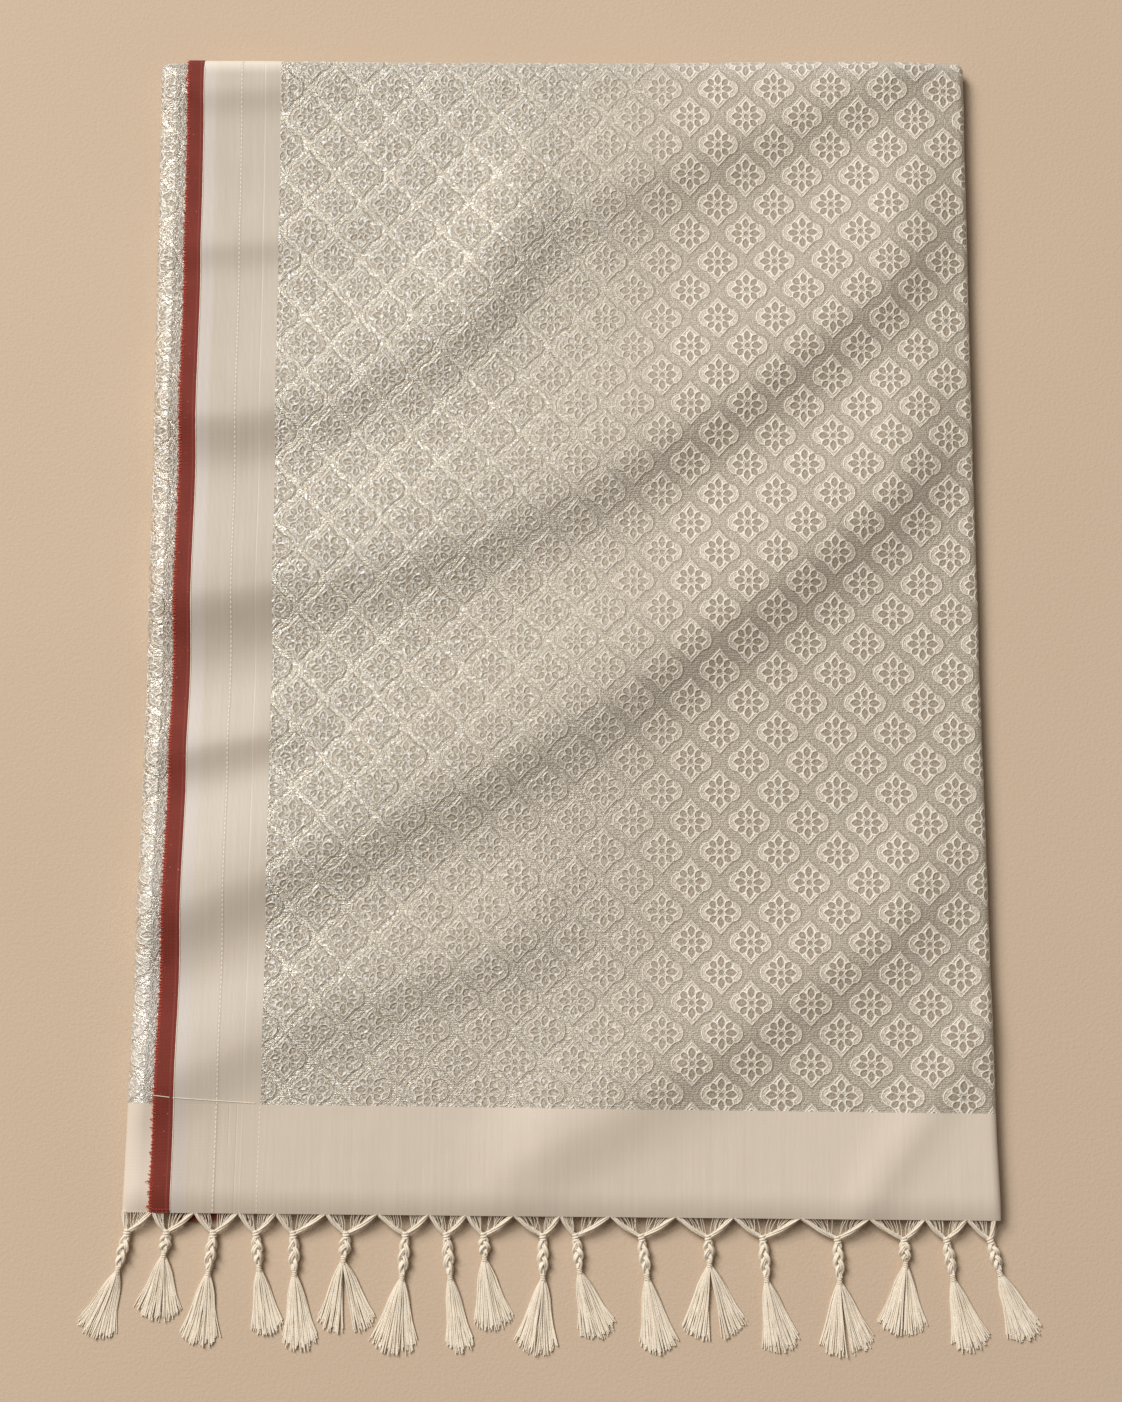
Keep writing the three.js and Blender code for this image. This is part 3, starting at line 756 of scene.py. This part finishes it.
def packet_ring():
    """Stands round the packet, anticlockwise: a point on the flat top, and how the side below it is."""
    ring = []
    corner_steps = 6

    def stretch(side, way, spots):
        ring.extend((x, y, way[0], way[1], SIDES[side]) for x, y in spots)

    def corner(spot, before, after, first, second):
        for k in range(1, corner_steps):
            share = k / corner_steps
            angle = share * math.pi / 2
            blend = {key: lerp(SIDES[before][key], SIDES[after][key], share) for key in SIDES[before]}
            way = [a * math.cos(angle) + b * math.sin(angle) for a, b in zip(first, second)]
            ring.append((spot[0], spot[1], way[0], way[1], blend))

    across = round((flat_right(0) - flat_left(0)) / CELL)
    along = round((LENGTH - FRONT_SETBACK) / CELL)
    columns = line_span((0, flat_left), (1, flat_right), across)
    rows = line_span((0, setback_line), (1, flat_rear), along)
    front = [crossing(line, setback_line) for _, line in columns]
    right = [crossing(flat_right, line) for _, line in rows]
    rear = [crossing(line, flat_rear) for _, line in reversed(columns)]
    left = [crossing(flat_left, line) for _, line in reversed(rows)]
    stretch("front", (0, -1), front)
    corner(front[-1], "front", "right", (0, -1), (1, 0))
    stretch("right", (1, 0), right)
    corner(right[-1], "right", "rear", (1, 0), (0, 1))
    stretch("rear", (0, 1), rear)
    corner(rear[-1], "rear", "left", (0, 1), (-1, 0))
    stretch("left", (-1, 0), left)
    corner(left[-1], "left", "front", (-1, 0), (0, -1))
    return ring


def make_folded_edges(brocade):
    """The courses under the top cloth: their folded edges stand out unevenly, one on another."""
    ring = packet_ring()
    rounds = LAYERS * LAYER_STEPS
    bm = bmesh.new()
    bmesh.ops.create_grid(bm, x_segments=len(ring), y_segments=rounds, size=1)
    weave = bm.loops.layers.uv.new("Weave")
    woven = {}
    for vert in bm.verts:
        n = round((vert.co.x + 1) / 2 * len(ring))
        level = round((vert.co.y + 1) / 2 * rounds) / LAYER_STEPS
        x, y, way_x, way_y, side = ring[n % len(ring)]
        layer = min(int(level), LAYERS - 1)
        within = 2 * (level - layer) - 1
        ragged = 1.0 + 1.6 * noise.noise(Vector((x / 90, y / 90, layer * 7.3)))
        ragged += 0.4 * noise.noise(Vector((x / 14, y / 14, layer * 3.7)))
        inset = side["back"] + max(0.0, ragged) + GROOVE * (1 - math.sqrt(1 - within * within))
        out = side["reach"] - inset
        z = (side["low"] - 0.6) * level / LAYERS
        vert.co = Vector((x + way_x * out, y + way_y * out, z)) * MM
        woven[vert] = (n * CELL * MM, level * 3 * MM)
    for face in bm.faces:
        for loop in face.loops:
            loop[weave].uv = woven[loop.vert]
    bmesh.ops.remove_doubles(bm, verts=bm.verts, dist=0.00001)
    bmesh.ops.holes_fill(bm, edges=[e for e in bm.edges if e.is_boundary], sides=0)
    bmesh.ops.recalc_face_normals(bm, faces=bm.faces)
    mesh = bpy.data.meshes.new("folded_edges")
    bm.to_mesh(mesh)
    bm.free()
    made = piece("folded_edges", mesh, brocade, "brocade", "folded_courses")


def make_tongue(red):
    """The second selvedge, which peeps out under the fringed edge."""
    left, right = -248, -216
    inner = 5.4  # how far it reaches under the cloth
    tip, heel = 7.2, 3.5  # how far it stands out at its left and right ends
    lie = 4.4
    bm = bmesh.new()
    bmesh.ops.create_grid(bm, x_segments=24, y_segments=10, size=1)
    weave = bm.loops.layers.uv.new("Weave")
    woven = {}
    for vert in bm.verts:
        s, t = (vert.co.x + 1) / 2, (1 - vert.co.y) / 2
        x = lerp(left, right, s)
        reach = lerp(tip, heel, s) * smooth(s * 9) + 0.5 * noise.noise(Vector((x / 5, 1.5, 0)))
        y = front_edge(left) + lerp(inner, -reach, t)
        z = lie + 0.3 * noise.noise(Vector((x / 8, y / 8, 4))) - 0.6 * t
        vert.co = Vector((x, y, z)) * MM
        woven[vert] = ((-BORDER_WIDTH - RED_WIDTH + 3 + 6 * t) * MM, x * MM)
    for face in bm.faces:
        for loop in face.loops:
            loop[weave].uv = woven[loop.vert]
    made = walled("lower_selvedge_tongue", bm, red, "selvedge", ["lower_selvedge"])


# ---- Stitches and single threads ------------------------------------------------------------------
def on_top(x, y, up=0.0):
    return Vector((x, y, top_height(x, y) + up))


def make_overcast(material):
    """Bright stitches that wrap the free edge of the red selvedge, some of them loose."""
    rng = random.Random(11)
    strands = []
    y = REAR_Y - 3
    while y > front_edge(-260) + 1:
        x = red_left(y)
        out = rng.uniform(0.5, 1.2) if rng.random() < 0.75 else rng.uniform(1.2, 2.1)
        drift = rng.uniform(-0.9, 0.5)
        radius = rng.uniform(0.28, 0.42)
        stitch = [
            (on_top(x + rng.uniform(0.8, 1.9), y, 0.1), radius),
            (on_top(x + 0.3, y + drift * 0.5, 0.3), radius),
            (on_top(x - out * 0.7, y + drift, -0.1), radius),
            (on_top(x - out, y + drift * 1.4, -1.0), radius * 0.7),
        ]
        strands.append(stitch)
        y -= rng.uniform(1.3, 2.6)
    for y, length in ((-362, 3.4), (-312, 2.6), (-205, 2.2), (-378, 2.4)):
        x = red_left(y)
        strands.append(
            [
                (on_top(x + 0.5, y, 0.1), 0.3),
                (on_top(x - length * 0.5, y + 0.7, 0.4), 0.28),
                (on_top(x - length, y - 0.4, -0.4), 0.2),
            ]
        )
    threads("selvedge_stitches", strands, material, "selvedge")


def run_over(start, end, steps, up, radius):
    """A thread that lies on the top from one place to another."""
    return [
        (on_top(lerp(start[0], end[0], k / steps), lerp(start[1], end[1], k / steps), up), radius)
        for k in range(steps + 1)
    ]


def make_lying_threads(white, red):
    """The white line along the red selvedge, the woven line at the band, and the red end's hem stitches."""
    rng = random.Random(5)
    along = []
    y = REAR_Y - SIDES["rear"]["reach"]
    while y > front_edge(-250) + 0.3:
        along.append((on_top(red_right(y) + 0.1, y, 0.12), 0.32 + rng.uniform(-0.05, 0.05)))
        y -= 2.5
    strands = [along]
    seam_y = band_seam(-220)
    over_red = ((-261.5, seam_y + 5.6), (-251, seam_y + 4.3))
    over_border = ((-249, seam_y + 4), (-196.5, seam_y + 0.4))
    for start, end in (over_red, over_border):
        strands.append(run_over(start, end, 16, 0.2, 0.3))
    threads("white_lines", strands, white, "fringe")
    hem = []
    for x in range(-262, -251, 2):
        y = front_edge(x) + 2.2
        hem.append(run_over((x, y + rng.uniform(-0.2, 0.2)), (x + 1.5, y), 3, 0.22, 0.26))
    for x in (-262.3, -258.8, -255.2, -252.2):
        y = front_edge(x)
        hem.append(run_over((x, y + 1.6), (x + rng.uniform(-0.6, 0.6), y - 0.2), 3, 0.2, 0.24))
    threads("selvedge_hem_stitches", hem, red, "selvedge")


# ---- The fringe ----------------------------------------------------------------------------------
NECK_Z = 4.1
TIE_Z = 3.2
LOOSE_THREADS = 88


def edge_point(x, under=0.9):
    """The cloth's front edge at an X, also where its sides roll down."""
    y = front_edge(x)
    near, far = flat_left(y), flat_right(y)
    if near <= x <= far:
        return Vector((x, y, top_height(x, y) - under))
    side = SIDES["left"] if x < near else SIDES["right"]
    past = min(1.0, (near - x if x < near else x - far) / side["reach"])
    top = top_height(clamp(x, near, far), y)
    drop = (top - side["low"]) / (1 - math.cos(ROLL_END)) * (1 - math.sqrt(1 - past * past))
    return Vector((x, y, top - drop - under))


def curve_through(points, steps):
    """A smooth run through a few points."""
    run = []
    padded = [points[0], *points, points[-1]]
    for n in range(1, len(padded) - 2):
        p0, p1, p2, p3 = padded[n - 1 : n + 3]
        for k in range(steps):
            t = k / steps
            run.append(
                0.5
                * (
                    2 * p1
                    + (p2 - p0) * t
                    + (2 * p0 - 5 * p1 + 4 * p2 - p3) * t * t
                    + (3 * p1 - p0 - 3 * p2 + p3) * t**3
                )
            )
    return run + [points[-1].copy()]


def bundle(run, radius, count, spread, turns, rng, ends=1.0):
    """Threads that twist round a run."""
    strands = []
    start = rng.uniform(0, math.tau)
    for n in range(count):
        strand = []
        for k, point in enumerate(run):
            share = k / (len(run) - 1)
            ahead = run[min(k + 1, len(run) - 1)] - run[max(k - 1, 0)]
            across = Vector((0, 0, 1)).cross(ahead).normalized()
            up = ahead.cross(across).normalized()
            angle = start + math.tau * (n / count + turns * share)
            narrow = lerp(ends, 1, math.sin(math.pi * clamp(share, 0.02, 0.98)) ** 0.5)
            offset = (across * math.cos(angle) + up * math.sin(angle)) * spread * narrow
            strand.append((point + offset, radius * narrow))
        strands.append(strand)
    return strands


def leg(foot, knot, inward, rng):
    """A leg of a tassel, and the fine threads that join it from the cloth's edge."""
    start = edge_point(foot)
    start.y += 0.8
    middle = start.lerp(knot, 0.5)
    middle.x -= inward * 0.4
    middle.y -= 0.9
    middle.z -= 0.4
    run = curve_through([start, middle, knot], 5)
    strands = bundle(run, 0.76, 4, 0.92, 0.35, rng, ends=0.7)
    half = abs(foot - knot.x)
    for n in range(9):
        share = (n + rng.uniform(0.2, 0.8)) / 9
        x = foot + inward * share * half * 0.86
        begin = edge_point(x, under=rng.uniform(0.5, 1.1))
        begin.y += 0.6
        landing = run[int(clamp(lerp(5, 9, share) + rng.uniform(-1, 1), 3, len(run) - 1))].copy()
        landing.z += rng.uniform(0.1, 0.7)
        bow = begin.lerp(landing, 0.5)
        bow.x += inward * rng.uniform(0.1, 0.9)
        bow.z -= 0.5
        strands.append([(p, 0.26) for p in curve_through([begin, bow, landing], 3)])
    return strands


def plait(top, tie, short, rng):
    """Three strands plaited from the knot to the tie."""
    waves, swing, rise = (0.7, 2.7, 1.6) if short else (0.98, 2.4, 1.5)
    steps = 26
    strands = []
    way = (tie - top).normalized()
    across = Vector((0, 0, 1)).cross(way).normalized()
    flip = rng.choice((-1, 1))
    for n in range(3):
        run = []
        for k in range(steps + 1):
            share = k / steps
            body = math.sin(math.pi * clamp(share, 0.06, 0.94)) ** 0.45
            angle = math.tau * (waves * share + n / 3)
            point = top.lerp(tie, share)
            point += across * (flip * swing * body * math.sin(angle))
            point.z += rise * body * math.sin(2 * angle) + 0.5 * body
            run.append(point)
        strands += bundle(run, 1.05, 3, 0.75, 0.3, rng, ends=0.6)
    return strands


def wrap(start, end, radius, thread, turns):
    """A thread wound round a neck."""
    way = (end - start).normalized()
    across = Vector((0, 0, 1)).cross(way).normalized()
    up = way.cross(across).normalized()
    steps = int(turns * 12)
    strand = []
    for k in range(steps + 1):
        angle = math.tau * turns * k / steps
        round_neck = (across * math.cos(angle) + up * math.sin(angle)) * radius
        strand.append((start.lerp(end, k / steps) + round_neck, thread))
    return strand


def brush(tie, row, rng):
    """The tassel's loose threads."""
    strands = []
    for n in range(LOOSE_THREADS):
        side = clamp((n + rng.uniform(-0.4, 1.4)) / LOOSE_THREADS * 2 - 1, -1, 1)
        stray = n % 29 == 5
        angle = row["lean"] + row["spread"] * side * (1.15 if stray else 1.0)
        angle += math.copysign(row["parted"], side) * (1 - abs(side) * 0.6)
        layer = rng.random() * (1 - 0.6 * abs(side))
        length = row["skirt"] * (1.03 - 0.12 * side * side) * rng.uniform(0.9, 1.03)
        swerve = rng.uniform(-2.5, 2.5)
        radius = rng.uniform(0.36, 0.5) * (0.7 if stray else 1)
        strand = []
        for share in (0, 0.08, 0.18, 0.32, 0.5, 0.7, 0.86, 1):
            opened = math.radians(angle + swerve * (share - 0.5) * 2)
            x = tie.x + side * 1.3 * (1 - share) + math.sin(opened) * length * share
            y = tie.y + 0.6 - math.cos(opened) * length * share
            bulge = 1.0 * math.sin(math.pi * min(1.0, share * 1.7)) * (1 if share < 0.58 else 0)
            x += side * bulge
            stack = lerp(4.4, 1.7, smooth(share * 1.3))
            rooted = TIE_Z + (layer - 0.35) * 2.0
            z = lerp(rooted, radius + 0.15 + layer * stack, smooth(share * 3.2))
            strand.append((Vector((x, y, z)), radius))
        strands.append(strand)
    return strands


def make_fringe(material):
    for n, row in enumerate(FRINGE):
        rng = random.Random(100 + n)
        after = FRINGE[n + 1]["gather"] if n + 1 < len(FRINGE) else LAST_GATHER
        short = row["neck"] < 20
        top = Vector((row["knot"], front_edge(row["knot"]) - KNOT_DROP, NECK_Z))
        tie = Vector((row["knot"] + row["shift"], top.y - row["neck"], TIE_Z))
        way = (tie - top).normalized()
        knot = top + way * 1.0
        strands = leg(row["gather"] + 0.6, knot, 1, rng) + leg(after - 0.6, knot, -1, rng)
        strands.append(wrap(top - way * 0.6, top + way * 3.6, 1.75, 0.95, 2.4))
        neck_end = tie - way * 3.6
        strands += plait(top + way * 2.2, neck_end, short, rng)
        strands.append(wrap(neck_end - way * 0.4, tie + way * 0.6, 1.35, 0.55, 4.2))
        strands += bundle([neck_end - way, neck_end.lerp(tie, 0.5), tie + way * 1.5], 0.8, 4, 0.7, 0.3, rng)
        strands += brush(tie, row, rng)
        name = f"tassel_{n + 1:02d}"
        threads(f"fringe_{name}", strands, material, "fringe", [name])


# ---- The object ----------------------------------------------------------------------------------
camera()
studio()
brocade = brocade_silk()
border = satin_silk("border_satin_silk", plain=False)
band = satin_silk("band_satin_silk", plain=True)
red = red_selvedge()
cream = silk_thread("fringe_thread", (227, 205, 173), (255, 248, 235))
orange = silk_thread("selvedge_thread", (150, 44, 30), (206, 84, 58), rough=0.7)
make_folded_edges(brocade)
make_cloths(brocade, border, band, red)
make_tongue(red)
make_overcast(orange)
make_lying_threads(cream, orange)
make_fringe(cream)
